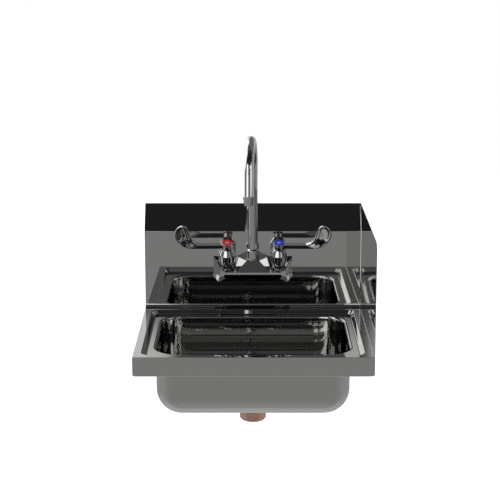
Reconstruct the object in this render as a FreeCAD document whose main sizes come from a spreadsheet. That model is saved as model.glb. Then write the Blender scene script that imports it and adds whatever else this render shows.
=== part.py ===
import FreeCAD, Part
import math
import os
import re

import Sketcher

# Wall-hung hand basin of pressed stainless sheet with a splash-mounted mixer tap.
# X runs to the user's right, Y runs into the wall and Z is up.
# The wall plane is Y = 0 and the origin is the centre of the bracket's four screw holes.

os.makedirs("parts", exist_ok=True)
doc = FreeCAD.newDocument("hand_basin")

# Sizes in millimetres and degrees, grouped by the piece that carries them
SIZES = {
    # sheet metal sink
    "sheet_thickness": 1.2,
    "apron_height": 36.5,
    "apron_bend": 0.6,
    "rim_width": 14.9,
    "rear_rim": 24.0,
    "step_width": 7.1,
    "step_drop": 8.0,
    "step_corner": 16.0,
    "ledge_width": 8.9,
    "front_ledge": 17.3,
    "rear_ledge": 2.2,
    "bowl_width": 355.6,
    "bowl_length": 266.0,
    "bowl_depth": 123.5,
    "bowl_corner": 48.0,
    "bowl_floor_radius": 45.0,
    "bowl_edge_radius": 5.7,
    "bowl_lip": 1.5,
    "drain_hole": 20.5,
    "cove_radius": 8.0,
    "splash_run": 33.5,
    "splash_height": 206.8,
    "return_rise": 51.8,
    "return_flange": 16.0,
    "side_splash_corner": 25.0,
    "side_splash_toe": 5.0,
    "side_splash_thickness": 1.2,
    # wall bracket
    "bracket_width": 300.0,
    "bracket_plate": 50.8,
    "bracket_thickness": 2.0,
    "bracket_hook_gap": 0.9,
    "bracket_hole_radius": 3.3,
    "bracket_hole_pitch": 254.0,
    "bracket_hole_rise": 25.4,
    # drain
    "drain_flange_radius": 36.5,
    "drain_flange_thickness": 2.0,
    "drain_bore": 17.5,
    "drain_wall": 2.5,
    "drain_drop": 45.5,
    "drain_gasket_thickness": 3.0,
    "drain_washer_thickness": 1.6,
    "drain_locknut_height": 9.0,
    "drain_locknut_flats": 52.0,
    "coupling_height": 19.0,
    "coupling_flats": 43.5,
    "nut_chamfer": 3.6,
    "strainer_thickness": 1.5,
    "strainer_hole": 3.0,
    "strainer_screw": 2.5,
    "screw_rim_share": 1.8,
    "screw_top_share": 1.4,
    "inner_holes_share": 0.42,
    "outer_holes_share": 0.8,
    # tap body
    "valve_spacing": 101.6,
    "inlet_height": 83.5,
    "inlet_bore": 6.5,
    "inlet_radius": 10.4,
    "inlet_clearance": 0.8,
    "gasket_thickness": 1.0,
    "plateau_rise": 21.0,
    "body_plateau_back": 33.0,
    "body_plateau_front": 12.5,
    "body_plateau_reach": 42.6,
    "skirt_drop": 1.2,
    "body_skirt_back": 58.9,
    "body_skirt_front": 34.4,
    "body_reach": 51.0,
    "bar_half_width": 56.4,
    "bar_edge": 4.0,
    "bar_belly_drop": 18.8,
    "bar_belly_reach": 35.0,
    "boss_outer": 78.5,
    "boss_inner": 40.0,
    "boss_heel": 62.0,
    "boss_heel_drop": 20.0,
    "boss_foot_drop": 22.5,
    "boss_shoulder_drop": 9.8,
    "boss_front_low": 68.5,
    "boss_front_side": 65.3,
    "boss_front_toe": 69.0,
    "boss_toe_drop": 19.0,
    "boss_front_crown": 63.0,
    "boss_front_crown_rise": 5.3,
    "boss_crown_width": 8.5,
    "boss_front_crown_width": 2.0,
    "boss_front_inner": 57.0,
    "boss_front_belly_drop": 14.9,
    "shank_length": 28.5,
    "shank_washer_radius": 16.0,
    "shank_washer_thickness": 2.0,
    "shank_nut_flats": 28.0,
    "shank_nut_height": 7.0,
    "shank_tail_radius": 10.2,
    # valves and handles
    "valve_tilt": 23.5,
    "blade_out": 50.0,
    "cartridge_foot": 64.0,
    "bonnet_base": 48.9,
    "bonnet_top": 5.5,
    "bonnet_foot_radius": 12.2,
    "bonnet_belly_radius": 16.7,
    "bonnet_neck_radius": 9.6,
    "bonnet_shoulder": 17.0,
    "bonnet_belly": 28.0,
    "bonnet_side_bend": 50.8,
    "bonnet_dome": 70.0,
    "bonnet_wall": 1.6,
    "cartridge_radius": 8.6,
    "stem_radius": 4.0,
    "stem_bottom": 34.0,
    "running_gap": 0.05,
    "hub_radius": 8.8,
    "hub_top_radius": 10.6,
    "hub_bottom": 4.9,
    "hub_top": 8.0,
    "ring_radius": 10.1,
    "ring_bore": 4.5,
    "ring_thickness": 0.8,
    "screw_radius": 2.0,
    "screw_head_radius": 3.8,
    "blade_thickness": 9.0,
    "blade_bar_top": 4.6,
    "blade_bar_bottom": 4.4,
    "blade_bar_end": 50.0,
    "blade_rise_reach": 69.7,
    "blade_rise": 18.5,
    "blade_neck_reach": 75.0,
    "blade_neck": 36.0,
    "blade_crown_reach": 88.0,
    "blade_crown": 47.6,
    "blade_tip_reach": 102.6,
    "blade_tip": 26.2,
    "blade_heel_reach": 84.0,
    "blade_swell": 28.2,
    "blade_soft": 1.5,
    # spout
    "spout_out": 30.0,
    "spout_radius": 9.5,
    "spout_wall": 1.2,
    "spout_socket": 14.0,
    "spout_bend": 63.5,
    "spout_rise": 254.4,
    "spout_swing": 3.9,
    "spout_lean": 2.0,
    "base_ring_radius": 12.0,
    "base_ring_height": 1.3,
    "spout_nut_radius": 13.0,
    "spout_nut_height": 20.7,
    "spout_nut_crown": 3.0,
    "aerator_rise": 132.7,
    "aerator_height": 17.8,
    "aerator_top_radius": 10.6,
    "aerator_bottom_radius": 8.1,
    "aerator_bore": 7.4,
    "aerator_lip": 1.0,
    "aerator_seat": 14.5,
    "aerator_washer": 1.5,
    # shared
    "soft_gap": 0.3,
    "overrun": 5.0,
}

dims = doc.addObject("Spreadsheet::Sheet", "Dims")
for row, (alias, value) in enumerate(SIZES.items(), 1):
    dims.set(f"A{row}", alias)
    dims.set(f"B{row}", str(value))
    dims.setAlias(f"B{row}", alias)
doc.recompute()

# Levels and planes that several pieces share, as formulas of the sizes
RETURN_ANGLE = "atan(splash_run / return_rise)"
RIM = "(bracket_plate / 2 + bracket_thickness + return_flange - splash_height)"
TOP = f"({RIM} + splash_height)"
KINK = f"({TOP} - return_rise)"
HOOK_SLOT = "(sheet_thickness + soft_gap)"
HOOK_REACH = f"({HOOK_SLOT} + bracket_thickness + sheet_thickness / cos({RETURN_ANGLE}))"
HOOK_TOP = f"({TOP} - {HOOK_REACH} / tan({RETURN_ANGLE}) - bracket_hook_gap)"
FLOOR = f"({RIM} - step_drop - bowl_depth)"
LEDGE = f"({RIM} - step_drop)"
APRON_FOOT = f"({RIM} - apron_height)"
FACE = "(0 - splash_run)"
BOWL_LIP = "(bowl_lip + bowl_edge_radius)"
FRONT_MARGIN = f"(rim_width + step_width + front_ledge + {BOWL_LIP})"
REAR_MARGIN = f"({BOWL_LIP} + rear_ledge + step_width + rear_rim)"
DECK_DEPTH = f"({FRONT_MARGIN} + bowl_length + {REAR_MARGIN})"
FRONT = f"({FACE} - {DECK_DEPTH})"
DECK_REAR = f"({FACE} - cove_radius)"
DECK_HALF = f"(bowl_width / 2 + {BOWL_LIP} + ledge_width + step_width + rim_width)"
BOWL_Y = f"({FRONT} + {FRONT_MARGIN} + bowl_length / 2)"
BOWL_INNER_X = "(bowl_width / 2 - bowl_corner)"
BACK = f"({FACE} + sheet_thickness)"
STEP_LENGTH = f"({DECK_DEPTH} - rim_width - rear_rim)"
TAP_BACK = f"({FACE} - gasket_thickness)"
INLET = f"({RIM} + inlet_height)"
PLATEAU = f"({INLET} + plateau_rise)"
TAP_FOOT = f"({INLET} - boss_foot_drop)"
BLADE_Y = f"({FACE} - blade_out)"
BLADE = f"({PLATEAU} + (bonnet_base - blade_out * sin(valve_tilt)) / cos(valve_tilt))"
SPOUT_END = f"({PLATEAU} + aerator_rise)"
SPOUT_Y = f"({FACE} - spout_out)"
ARCH_CENTRE = f"({PLATEAU} + spout_rise - spout_radius - spout_bend)"
ARCH_END = f"({ARCH_CENTRE} + spout_bend * sin(spout_lean))"
ARCH_REACH = "(spout_bend + spout_bend * cos(spout_lean))"
NODES = {}
CLOSE = 0.01


def bound(text):
    """The formula with each size's name pointing at its cell."""

    def point(found):
        word = found.group()
        return "Dims." + word if word in SIZES else word

    return re.sub(r"[a-z_]{3,}", point, text)


def mm(text):
    """The formula's value now."""
    return float(dims.evalExpression(text))


def node(name, thing):
    """Keeps an object as one finished piece of the basin."""
    thing.Label = name
    NODES[name] = thing
    return thing


def place(thing, x="0", y="0", z="0", turn="0", axis=(1, 0, 0)):
    """Puts an object at a point, turned about an axis by an angle in degrees."""
    thing.Placement = FreeCAD.Placement(FreeCAD.Vector(), FreeCAD.Rotation(FreeCAD.Vector(*axis), mm(turn)))
    thing.setExpression("Placement.Base.x", bound(x))
    thing.setExpression("Placement.Base.y", bound(y))
    thing.setExpression("Placement.Base.z", bound(z))
    return thing


# Sketches and features

def new_body(name):
    return doc.addObject("PartDesign::Body", name)


def new_sketch(body, name, plane, offset="0"):
    """A sketch on one of the body's own planes: XY looks down, XZ from the front, YZ from the right."""
    sketch = body.newObject("Sketcher::SketchObject", name)
    origin = [feature for feature in body.Origin.OriginFeatures if feature.Role == plane + "_Plane"]
    sketch.AttachmentSupport = (origin[0], [""])
    sketch.MapMode = "FlatFace"
    sketch.setExpression("AttachmentOffset.Base.z", bound(offset))
    return sketch


def pin_coordinate(sketch, kind, axis, geometry, point, text, name):
    """Holds one coordinate of a sketch point at a formula."""
    value = mm(text)
    if text == "0":
        sketch.addConstraint(Sketcher.Constraint("PointOnObject", geometry, point, axis))
        return
    index = sketch.addConstraint(Sketcher.Constraint(kind, -1, 1, geometry, point, value))
    sketch.renameConstraint(index, name)
    sketch.setExpression("Constraints." + name, bound(text))


def arc_between(start, end, radius, side):
    """The short arc from start to end: side 1 turns left on the way, side -1 turns right."""
    half = (end - start) / 2
    rise = math.sqrt(max(radius ** 2 - half.Length ** 2, 0))
    across = FreeCAD.Vector(-half.y, half.x, 0)
    across.normalize()
    centre = start + half + across * rise * side
    first, last = (start, end) if side > 0 else (end, start)
    begin = math.atan2(first.y - centre.y, first.x - centre.x)
    finish = math.atan2(last.y - centre.y, last.x - centre.x)
    return Part.ArcOfCircle(Part.Circle(centre, FreeCAD.Vector(0, 0, 1), radius), begin, finish)


def trace(sketch, points, label="p"):
    """Draws a closed outline. A point is (x, y), or (x, y, radius, side) where an arc leads to it."""
    spots = [FreeCAD.Vector(mm(point[0]), mm(point[1]), 0) for point in points]
    ends = []
    first = sketch.GeometryCount
    for index, point in enumerate(points):
        start, end = spots[index - 1], spots[index]
        if len(point) == 2:
            sketch.addGeometry(Part.LineSegment(start, end), False)
            ends.append((1, 2))
        else:
            sketch.addGeometry(arc_between(start, end, mm(point[2]), point[3]), False)
            ends.append((1, 2) if point[3] > 0 else (2, 1))
    for index, point in enumerate(points):
        after = (index + 1) % len(points)
        here, there = first + index, first + after
        sketch.addConstraint(Sketcher.Constraint("Coincident", here, ends[index][1], there, ends[after][0]))
        pin_coordinate(sketch, "DistanceX", -2, here, ends[index][1], point[0], f"{label}x{index}")
        pin_coordinate(sketch, "DistanceY", -1, here, ends[index][1], point[1], f"{label}y{index}")
        if len(point) > 2:
            held = sketch.addConstraint(Sketcher.Constraint("Radius", here, mm(point[2])))
            sketch.renameConstraint(held, f"{label}r{index}")
            sketch.setExpression(f"Constraints.{label}r{index}", bound(point[2]))


def circle(sketch, x, y, radius, label="c"):
    """Draws a circle with its centre and radius held."""
    spot = FreeCAD.Vector(mm(x), mm(y), 0)
    sketch.addGeometry(Part.Circle(spot, FreeCAD.Vector(0, 0, 1), mm(radius)), False)
    index = sketch.GeometryCount - 1
    pin_coordinate(sketch, "DistanceX", -2, index, 3, x, label + "x")
    pin_coordinate(sketch, "DistanceY", -1, index, 3, y, label + "y")
    held = sketch.addConstraint(Sketcher.Constraint("Radius", index, mm(radius)))
    sketch.renameConstraint(held, label + "r")
    sketch.setExpression("Constraints." + label + "r", bound(radius))


def rounded_outline(half_x, half_y, corner, y="0"):
    """Points of a rectangle with round corners about (0, y)."""
    left, right = f"0 - ({half_x})", f"({half_x})"
    low, high = f"({y}) - ({half_y})", f"({y}) + ({half_y})"
    return [
        (f"{right} - ({corner})", low),
        (right, f"{low} + ({corner})", corner, 1),
        (right, f"{high} - ({corner})"),
        (f"{right} - ({corner})", high, corner, 1),
        (f"{left} + ({corner})", high),
        (left, f"{high} - ({corner})", corner, 1),
        (left, f"{low} + ({corner})"),
        (f"{left} + ({corner})", low, corner, 1),
    ]


def feature(body, kind, name, sketch, length=None, reverse=False, middle=False):
    """A pad, pocket or turned feature of a sketch."""
    made = body.newObject("PartDesign::" + kind, name)
    made.Profile = sketch
    if length is not None:
        made.setExpression("Length", bound(length))
    else:
        made.ReferenceAxis = (sketch, ["V_Axis"])
    made.Reversed = reverse
    if middle:
        made.SideType = "Symmetric"
    sketch.Visibility = False
    return made


def loft(body, kind, name, first, second):
    """A ruled loft from one sketch to another."""
    made = body.newObject("PartDesign::" + kind + "Loft", name)
    made.Profile = first
    made.Sections = [second]
    made.Ruled = True
    return made


def turned(name, points, x="0", y="0", z="0", tilt="0", axis=(1, 0, 0)):
    """A piece turned about its own upright axis, from points (radius, height)."""
    body = new_body(name)
    sketch = new_sketch(body, name + "_outline", "XZ")
    trace(sketch, points)
    feature(body, "Revolution", name + "_turned", sketch)
    return place(body, x, y, z, tilt, axis)


def tube_points(inner, outer, low, high):
    return [(inner, low), (outer, low), (outer, high), (inner, high)]


def cylinder(name, radius, height, x="0", y="0", z="0", tilt="0"):
    made = doc.addObject("Part::Cylinder", name)
    made.setExpression("Radius", bound(radius))
    made.setExpression("Height", bound(height))
    return place(made, x, y, z, tilt)


def hexagon(name, flats, height, x="0", y="0", z="0", tilt="0"):
    made = doc.addObject("Part::Prism", name)
    made.Polygon = 6
    made.setExpression("Circumradius", bound(f"({flats}) / 2 / cos(30)"))
    made.setExpression("Height", bound(height))
    return place(made, x, y, z, tilt)


def joined(kind, name, base, tool):
    """The cut, fuse or common of two objects."""
    made = doc.addObject("Part::" + kind, name)
    made.Base = base
    made.Tool = tool
    return made


def rounded(name, base, radius, wanted):
    """Fillets the edges of base that wanted() picks."""
    doc.recompute()
    made = doc.addObject("Part::Fillet", name)
    made.Base = base
    chosen = [index for index, edge in enumerate(base.Shape.Edges, 1) if wanted(edge)]
    made.Edges = [(index, mm(radius), mm(radius)) for index in chosen]
    return made


def lies_at(edge, axis, value):
    """Whether an edge lies wholly in the plane where that axis has that value."""
    box = edge.BoundBox
    low, high = {"x": (box.XMin, box.XMax), "y": (box.YMin, box.YMax), "z": (box.ZMin, box.ZMax)}[axis]
    return abs(low - value) < CLOSE and abs(high - value) < CLOSE


# Deck: rim, marine step, ledge round the bowl, and the apron on three sides

def make_deck():
    body = new_body("deck_body")
    half = DECK_HALF
    plate = new_sketch(body, "deck_plate", "XY", RIM)
    trace(plate, [(f"0 - {half}", FRONT), (half, FRONT), (half, DECK_REAR), (f"0 - {half}", DECK_REAR)])
    feature(body, "Pad", "deck_block", plate, "apron_height", reverse=True)
    under = new_sketch(body, "deck_under", "XY", APRON_FOOT)
    inner = f"{half} - sheet_thickness"
    inside_front = f"{FRONT} + sheet_thickness"
    behind = f"{DECK_REAR} + overrun"
    left_inside = f"0 - ({inner})"
    trace(under, [(left_inside, inside_front), (inner, inside_front), (inner, behind), (left_inside, behind)])
    feature(body, "Pocket", "deck_hollow", under, "apron_height - sheet_thickness", reverse=True)
    step_y = f"{FRONT} + rim_width + {STEP_LENGTH} / 2"
    pan = {"outer": ("step_corner", "0"), "floor": ("step_corner - step_width", "step_width")}
    for kind, grow, drop in (("Additive", "sheet_thickness", "sheet_thickness"), ("Subtractive", "0", "0")):
        sections = []
        for part in ("outer", "floor"):
            corner, inset = pan[part]
            level = f"{RIM} - {drop}" if part == "outer" else f"{LEDGE} - {drop}"
            sketch = new_sketch(body, f"step_{kind}_{part}".lower(), "XY", level)
            outline = rounded_outline(
                f"{DECK_HALF} - rim_width - {inset} + {grow}",
                f"{STEP_LENGTH} / 2 - {inset} + {grow}",
                f"{corner} + {grow}",
                step_y,
            )
            trace(sketch, outline)
            sections.append(sketch)
        loft(body, kind, f"step_{kind}".lower(), *sections)
    opening = new_sketch(body, "deck_opening", "XY", LEDGE)
    trace(opening, rounded_outline(*lip_sizes(), BOWL_Y))
    feature(body, "Pocket", "deck_cut", opening, "sheet_thickness + overrun")
    doc.recompute()
    rim, front, side = mm(RIM), mm(FRONT), mm(half)

    def outside(edge):
        along_top = lies_at(edge, "z", rim) and (lies_at(edge, "y", front) or lies_at(edge, "x", -side))
        upright = lies_at(edge, "y", front) and lies_at(edge, "x", -side)
        return along_top or upright

    whole = rounded("deck_pressing", body, "apron_bend", outside)
    near, far = BOWL_INNER_X, f"({half} + overrun)"
    front, rear = f"({FRONT} - overrun)", f"({DECK_REAR} + overrun)"
    for name, low_x, high_x in (("left", f"0 - {far}", f"0 - {near}"), ("right", near, far)):
        section("deck_" + name, whole, low_x, high_x, front, rear)
    for name, low_y, high_y in (("front", front, BOWL_Y), ("rear", BOWL_Y, rear)):
        section("deck_" + name, whole, f"0 - {near}", near, low_y, high_y)


def section(name, whole, low_x, high_x, low_y, high_y):
    """The stretch of a pressing between two upright planes each way, kept as a node of its own."""
    zone = doc.addObject("Part::Box", name + "_zone")
    zone.setExpression("Length", bound(f"({high_x}) - ({low_x})"))
    zone.setExpression("Width", bound(f"({high_y}) - ({low_y})"))
    zone.setExpression("Height", bound("step_drop + bowl_depth + apron_height + overrun * 2"))
    place(zone, low_x, low_y, f"{FLOOR} - overrun")
    return node(name, joined("Common", name, whole, zone))


def lip_sizes():
    """Half width, half length and corner of the bowl's lip, which fills the deck's opening."""
    grow = "bowl_edge_radius + bowl_lip"
    return f"bowl_width / 2 + {grow}", f"bowl_length / 2 + {grow}", f"bowl_corner + {grow}"


# Bowl: a drawn tub whose edge rolls over into the deck's opening

def block(name, half_x, half_y, corner, low, high):
    """A rounded rectangle padded from one level to another, about the bowl's centre."""
    body = new_body(name)
    sketch = new_sketch(body, name + "_outline", "XY", low)
    trace(sketch, rounded_outline(half_x, half_y, corner, BOWL_Y))
    feature(body, "Pad", name + "_pad", sketch, f"({high}) - ({low})")
    return body


def make_bowl():
    half_x, half_y = "bowl_width / 2", "bowl_length / 2"
    wall = "sheet_thickness"
    low = f"{FLOOR} - {wall}"
    tub = block("tub", f"{half_x} + {wall}", f"{half_y} + {wall}", f"bowl_corner + {wall}", low, LEDGE)

    def bottom(level):
        return lambda edge: lies_at(edge, "z", level)

    tub_round = rounded("tub_round", tub, f"bowl_floor_radius + {wall}", bottom(mm(low)))
    lip_foot = f"{LEDGE} - bowl_edge_radius - bowl_lip"
    lip = block("lip", *lip_sizes(), lip_foot, LEDGE)
    whole = joined("Fuse", "bowl_whole", tub_round, lip)
    above = f"{LEDGE} + overrun"
    cavity = block("cavity", half_x, half_y, "bowl_corner", FLOOR, above)
    cavity_round = rounded("cavity_round", cavity, "bowl_floor_radius", bottom(mm(FLOOR)))
    hollow = joined("Cut", "bowl_hollow", whole, cavity_round)
    half, centre, reach = mm(half_x), mm(BOWL_Y), mm(half_y)

    def mouth(edge):
        box = edge.BoundBox
        inside = max(abs(box.XMin), abs(box.XMax)) < half + CLOSE
        within = box.YMin > centre - reach - CLOSE and box.YMax < centre + reach + CLOSE
        return lies_at(edge, "z", mm(LEDGE)) and inside and within

    rolled = rounded("bowl_rolled", hollow, "bowl_edge_radius", mouth)
    under_top = f"{LEDGE} - {wall}"
    grown = [f"{text} + overrun" for text in lip_sizes()]
    ring = block("under_ring", *grown, f"{lip_foot} - overrun", under_top)
    core_sizes = [f"{text} + {wall}" for text in (half_x, half_y, "bowl_corner")]
    core = block("under_core", *core_sizes, f"{lip_foot} - overrun", under_top)
    under = joined("Cut", "under_hollow", ring, core)
    outer = mm(f"{half_x} + {wall}")
    outer_reach = mm(f"{half_y} + {wall}")

    def under_mouth(edge):
        box = edge.BoundBox
        inside = max(abs(box.XMin), abs(box.XMax)) < outer + CLOSE
        within = box.YMin > centre - outer_reach - CLOSE and box.YMax < centre + outer_reach + CLOSE
        return lies_at(edge, "z", mm(under_top)) and inside and within

    under_round = rounded("under_round", under, f"bowl_edge_radius - {wall}", under_mouth)
    shell = joined("Cut", "bowl_shell", rolled, under_round)
    hole_foot = f"{FLOOR} - overrun"
    hole = cylinder("bowl_hole", "drain_hole", "sheet_thickness + overrun * 2", "0", BOWL_Y, hole_foot)
    whole = joined("Cut", "bowl_pressing", shell, hole)
    near, reach = BOWL_INNER_X, "(bowl_length / 2 - bowl_corner)"
    far, deep = f"({half_x} + {BOWL_LIP} + overrun)", f"({half_y} + {BOWL_LIP} + overrun)"
    front, rear = f"({BOWL_Y} - {deep})", f"({BOWL_Y} + {deep})"
    for name, low_x, high_x in (("left", f"0 - {far}", f"0 - {near}"), ("right", near, far)):
        section("bowl_" + name, whole, low_x, high_x, front, rear)
    for name, low_y, high_y in (
        ("front", front, f"{BOWL_Y} - {reach}"),
        ("floor", f"{BOWL_Y} - {reach}", f"{BOWL_Y} + {reach}"),
        ("rear", f"{BOWL_Y} + {reach}", rear),
    ):
        section("bowl_" + name, whole, f"0 - {near}", near, low_y, high_y)


# Backsplash: cove, upright face and a return that leans back to the wall

def splash_section():
    """The sheet's section in Y and Z, front side first."""
    kink = KINK
    inner_kink = f"{kink} - sheet_thickness * tan({RETURN_ANGLE} / 2)"
    inner_top = f"{TOP} - sheet_thickness / tan({RETURN_ANGLE} / 2)"
    cove_top = f"{RIM} + cove_radius"
    return [
        (DECK_REAR, f"{RIM} - sheet_thickness"),
        (BACK, cove_top, "cove_radius + sheet_thickness", 1),
        (BACK, inner_kink),
        ("0 - sheet_thickness", inner_top),
        ("0 - sheet_thickness", f"{TOP} - return_flange"),
        ("0", f"{TOP} - return_flange"),
        ("0", TOP),
        (FACE, kink),
        (FACE, cove_top),
        (DECK_REAR, RIM, "cove_radius", -1),
    ]


def make_backsplash():
    body = new_body("backsplash")
    sketch = new_sketch(body, "backsplash_section", "YZ")
    trace(sketch, splash_section())
    feature(body, "Pad", "backsplash_sheet", sketch, f"{DECK_HALF} * 2", middle=True)
    holes = new_sketch(body, "tap_holes", "XZ", "splash_run - sheet_thickness - overrun")
    height = INLET
    circle(holes, "valve_spacing / 2", height, "inlet_radius + inlet_clearance", "right")
    circle(holes, "0 - valve_spacing / 2", height, "inlet_radius + inlet_clearance", "left")
    feature(body, "Pocket", "tap_hole_cut", holes, "sheet_thickness + overrun * 2", reverse=True)
    return node("backsplash", body)


def make_end_cap():
    """Closes the left end of the hollow behind the backsplash."""
    body = new_body("left_end_cap")
    sketch = new_sketch(body, "end_cap_outline", "YZ", f"0 - {DECK_HALF}")
    front_foot, _, inner_kink, inner_top, flange_foot = splash_section()[:5]
    outline = [
        (DECK_REAR, APRON_FOOT),
        ("0", APRON_FOOT),
        ("0", flange_foot[1]),
        flange_foot,
        inner_top,
        inner_kink,
        (BACK, f"{RIM} + cove_radius"),
        (DECK_REAR, front_foot[1], "cove_radius + sheet_thickness", -1),
    ]
    trace(sketch, outline)
    feature(body, "Pad", "end_cap_sheet", sketch, "sheet_thickness")
    return node("left_end_cap", body)


def make_side_splash():
    body = new_body("side_splash")
    sketch = new_sketch(body, "side_splash_outline", "YZ", DECK_HALF)
    corner, toe = "side_splash_corner", "side_splash_toe"
    outline = [
        ("0", APRON_FOOT),
        ("0", TOP),
        (f"{FRONT} + {corner}", TOP),
        (FRONT, f"{TOP} - {corner}", corner, 1),
        (FRONT, f"{APRON_FOOT} + {toe}"),
        (f"{FRONT} + {toe}", APRON_FOOT, toe, 1),
    ]
    trace(sketch, outline)
    feature(body, "Pad", "side_splash_sheet", sketch, "side_splash_thickness")
    return node("side_splash", body)


# Wall bracket: a plate on the wall whose hook holds the backsplash's rear flange

def make_bracket():
    body = new_body("wall_bracket")
    sketch = new_sketch(body, "bracket_section", "YZ")
    half = "bracket_plate / 2"
    thick = "bracket_thickness"
    slot = HOOK_SLOT
    trace(sketch, [
        ("0", f"0 - {half}"),
        ("0", f"{half} + {thick}"),
        (f"0 - {slot}", f"{half} + {thick}"),
        (f"0 - {slot}", HOOK_TOP),
        (f"0 - ({slot} + {thick})", HOOK_TOP),
        (f"0 - ({slot} + {thick})", half),
        (f"0 - {thick}", half),
        (f"0 - {thick}", f"0 - {half}"),
    ])
    feature(body, "Pad", "bracket_strip", sketch, "bracket_width", middle=True)
    holes = new_sketch(body, "bracket_holes", "XZ")
    for across in (-1, 1):
        for up in (-1, 1):
            label = ("left" if across < 0 else "right") + ("low" if up < 0 else "high")
            x, z = f"{across} * bracket_hole_pitch / 2", f"{up} * bracket_hole_rise / 2"
            circle(holes, x, z, "bracket_hole_radius", label)
    feature(body, "Pocket", "bracket_hole_cut", holes, "bracket_thickness * 2", reverse=True)
    return node("wall_bracket", body)


# Drain: flange and strainer in the bowl, with the nuts and washers below it

def drain_ring(name, inner, outer, low, high):
    return node(name, turned(name, tube_points(inner, outer, low, high), "0", BOWL_Y, FLOOR))


def drain_nut(name, flats, inner, low, high):
    """A hexagon nut with its lower corners turned off."""
    tall = f"({high}) - ({low})"
    outside = hexagon(name + "_hexagon", flats, tall, "0", BOWL_Y, f"{FLOOR} + {low}")
    half = f"({flats}) / 2"
    corner = f"({half} / cos(30))"
    turned_shape = turned(name + "_turned", [
        (inner, "0"),
        (f"{half} - nut_chamfer / 4", "0"),
        (corner, "nut_chamfer"),
        (corner, tall),
        (inner, tall),
    ], "0", BOWL_Y, f"{FLOOR} + {low}")
    return node(name, joined("Common", name, outside, turned_shape))


def make_drain():
    tube = "drain_bore + drain_wall"
    top = "drain_flange_thickness"
    foot = "(0 - drain_drop)"
    seat = f"{top} - strainer_thickness"
    flange = turned("drain_flange", [
        ("drain_bore", foot),
        (tube, foot),
        (tube, "0"),
        ("drain_flange_radius", "0"),
        (f"drain_flange_radius - {top}", top),
        (f"{tube} + strainer_thickness", top),
        (f"{tube} + strainer_thickness", seat),
        ("drain_bore", seat),
    ], "0", BOWL_Y, FLOOR)
    node("drain_flange", flange)
    disc = tube_points("strainer_screw + running_gap", tube, seat, top)
    strainer = turned("strainer_disc", disc, "0", BOWL_Y, FLOOR)
    holes = new_body("strainer_holes")
    sketch = new_sketch(holes, "strainer_holes_outline", "XY", f"{seat} - overrun")
    for count, radius in ((6, "drain_bore * inner_holes_share"), (12, "drain_bore * outer_holes_share")):
        for step in range(count):
            angle = 360 / count * step
            label = "ring" + ("inner" if count < 12 else "outer") + chr(97 + step)
            x, y = f"({radius}) * cos({angle})", f"({radius}) * sin({angle})"
            circle(sketch, x, y, "strainer_hole", label)
    feature(holes, "Pad", "strainer_hole_pad", sketch, "strainer_thickness + overrun * 2")
    place(holes, "0", BOWL_Y, FLOOR)
    node("drain_strainer", joined("Cut", "drain_strainer", strainer, holes))
    head = f"{top} + strainer_thickness / 2"
    node("strainer_screw", turned("strainer_screw", [
        ("0", seat),
        ("strainer_screw", seat),
        ("strainer_screw", top),
        ("strainer_screw * screw_rim_share", top),
        ("strainer_screw * screw_top_share", head),
        ("0", head),
    ], "0", BOWL_Y, FLOOR))
    under = "(0 - sheet_thickness)"
    gasket_foot = f"({under} - drain_gasket_thickness)"
    washer_foot = f"({gasket_foot} - drain_washer_thickness)"
    nut_foot = f"({washer_foot} - drain_locknut_height)"
    drain_ring("drain_gasket", tube, f"drain_flange_radius - {top}", gasket_foot, under)
    drain_ring("drain_washer", tube, f"drain_flange_radius - {top} * 2", washer_foot, gasket_foot)
    drain_nut("drain_locknut", "drain_locknut_flats", tube, nut_foot, washer_foot)
    drain_nut("drain_coupling_nut", "coupling_flats", tube, foot, f"{foot} + coupling_height")


# Tap body: a faceted casting with two wrench bosses, two valve seats and a spout socket

def facet_loft(body, name, plane, first, second):
    """A ruled loft between two outlines, each (offset, points)."""
    sketches = []
    for end, (offset, points) in zip("ab", (first, second)):
        sketch = new_sketch(body, f"{name}_{end}", plane, offset)
        trace(sketch, points)
        sketches.append(sketch)
    return loft(body, "Additive", name, *sketches)


def tap_top(out):
    """Height of the tap's sloping top at a distance out from the backsplash."""
    return f"({PLATEAU} - ({out}) * tan(valve_tilt))"


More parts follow.
